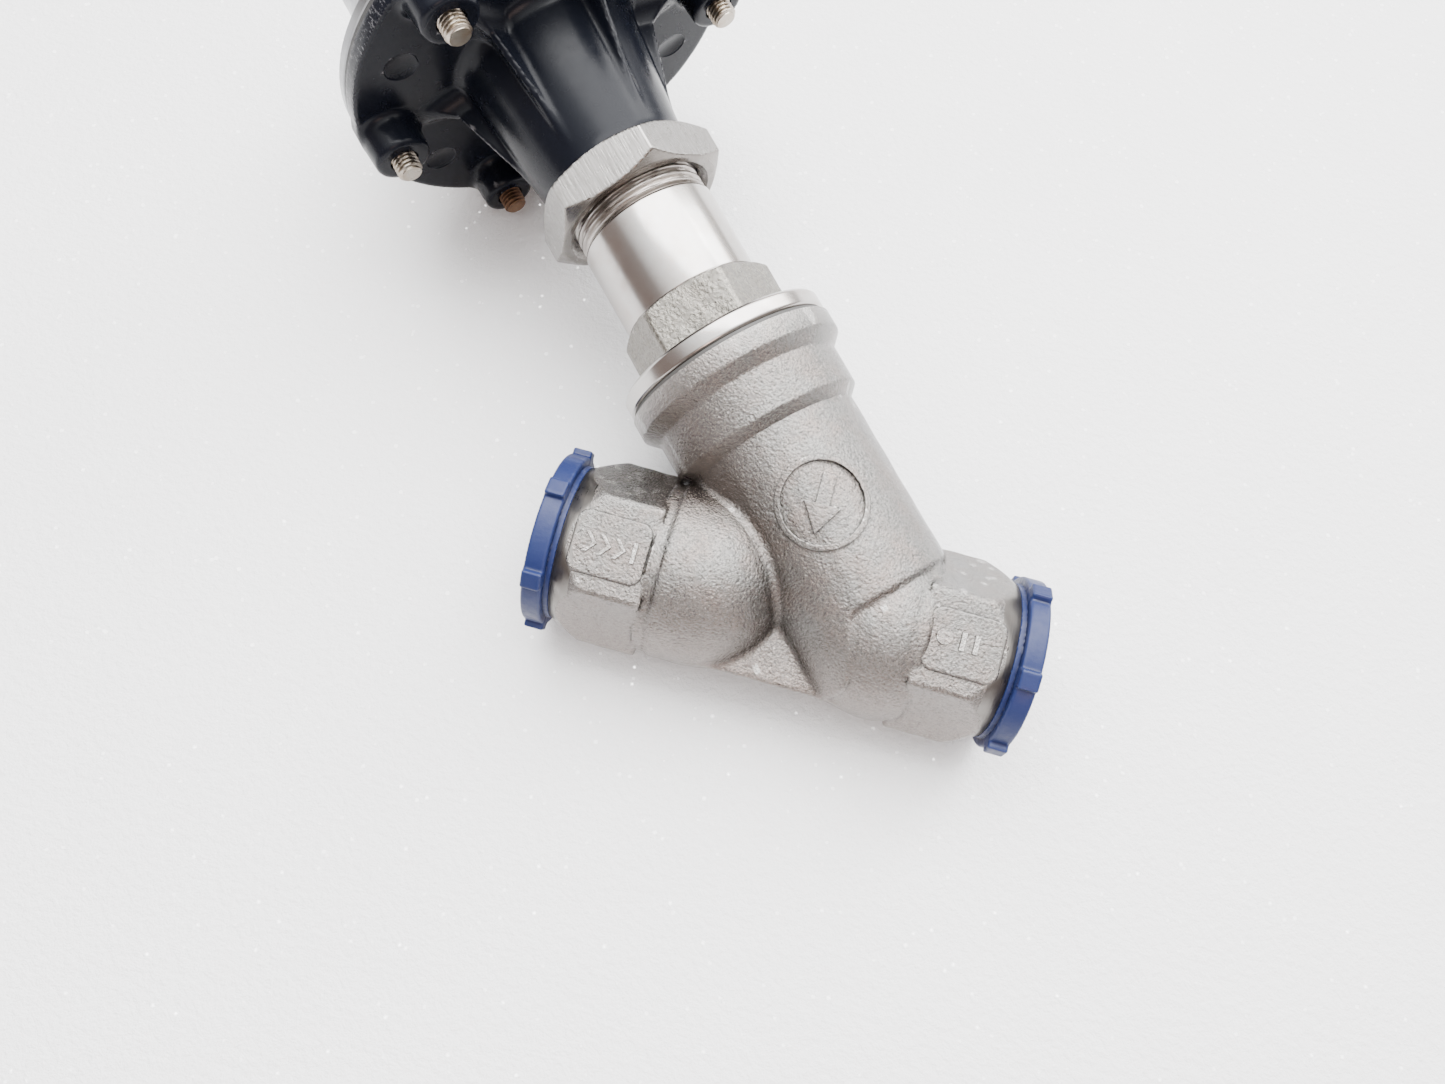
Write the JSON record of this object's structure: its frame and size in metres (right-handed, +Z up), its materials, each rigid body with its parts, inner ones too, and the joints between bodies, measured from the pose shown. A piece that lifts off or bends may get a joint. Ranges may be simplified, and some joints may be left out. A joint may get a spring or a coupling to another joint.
{
  "type": "pneumatic actuated valve",
  "caption": "Angle-seat valve with threaded ends, a spring-return diaphragm actuator on a swivel joint, a travel indicator and plastic port caps.",
  "frame": {"origin": "on the pipe axis, where the inlet thread starts", "axes": "+X along the pipe axis and out of the inlet end, +Z up from the surface that the valve lies on, +Y towards the actuator"},
  "size_m": [0.1622, 0.1509, 0.0798],
  "materials": {
    "cast_stainless": "investment-cast stainless steel with a fine grain",
    "turned_stainless": "turned and polished stainless steel",
    "nickel_nut": "machined, satin",
    "screw_steel": "stainless screws, slightly stained",
    "spring_steel": "spring wire",
    "cover_metal": "satin cover",
    "black_housing": "black moulded polyamide, semi-gloss",
    "blue_cap": "blue moulded polyethylene",
    "graphite": "graphite and PTFE sheet",
    "ptfe": "white PTFE",
    "rubber": "black nitrile",
    "brass": "turned brass",
    "indicator_red": "red moulded plastic",
    "clear_window": "clear polycarbonate"
  },
  "bodies": {
    "valve": {"valve_body": "cast_stainless", "bonnet_gasket": "graphite", "bonnet": "turned_stainless", "stem_guide_bush": "ptfe", "packing_base_washer": "turned_stainless", "packing_spring": "spring_steel", "packing_top_washer": "turned_stainless", "packing_rings": "ptfe", "gland_nut": "brass", "stem_wiper": "rubber", "lock_nut": "nickel_nut", "swivel_clip": "spring_steel"},
    "actuator": {"actuator_housing": "black_housing", "seal_carrier": "brass", "carrier_o_ring": "rubber", "stem_o_ring": "rubber", "diaphragm": "rubber", "top_cover": "cover_metal", "flange_screws": "screw_steel", "return_spring": "spring_steel", "vent_plug": "brass", "window_o_ring": "rubber", "indicator_window": "clear_window"},
    "stem": {"valve_stem": "turned_stainless", "disc_holder": "turned_stainless", "seat_disc": "ptfe", "disc_washer": "turned_stainless", "disc_nut": "screw_steel", "lower_plate": "cover_metal", "upper_plate": "cover_metal", "plate_nut": "screw_steel", "indicator_rod": "indicator_red"},
    "inlet_cap": {"inlet_cap": "blue_cap"},
    "outlet_cap": {"outlet_cap": "blue_cap"}
  },
  "joints": [
    {"name": "actuator_swivel", "type": "hinge", "parent": "valve", "child": "actuator", "pos_m": [-0.09224, 0.07123, 0.01827], "axis": [-0.7071, 0.6849, 0.1757], "continuous": true},
    {"name": "stem_slide", "type": "slide", "parent": "actuator", "child": "stem", "axis": [-0.7071, 0.6849, 0.1757], "range_m": [0, 0.008], "stiffness_N_per_m": 8600, "deforming": ["return_spring", "diaphragm"]},
    {"name": "inlet_cap_pull", "type": "slide", "parent": "valve", "child": "inlet_cap", "axis": [1, 0, 0], "range_m": [0, 0.06]},
    {"name": "outlet_cap_pull", "type": "slide", "parent": "valve", "child": "outlet_cap", "axis": [-1, 0, 0], "range_m": [0, 0.06]}
  ]
}
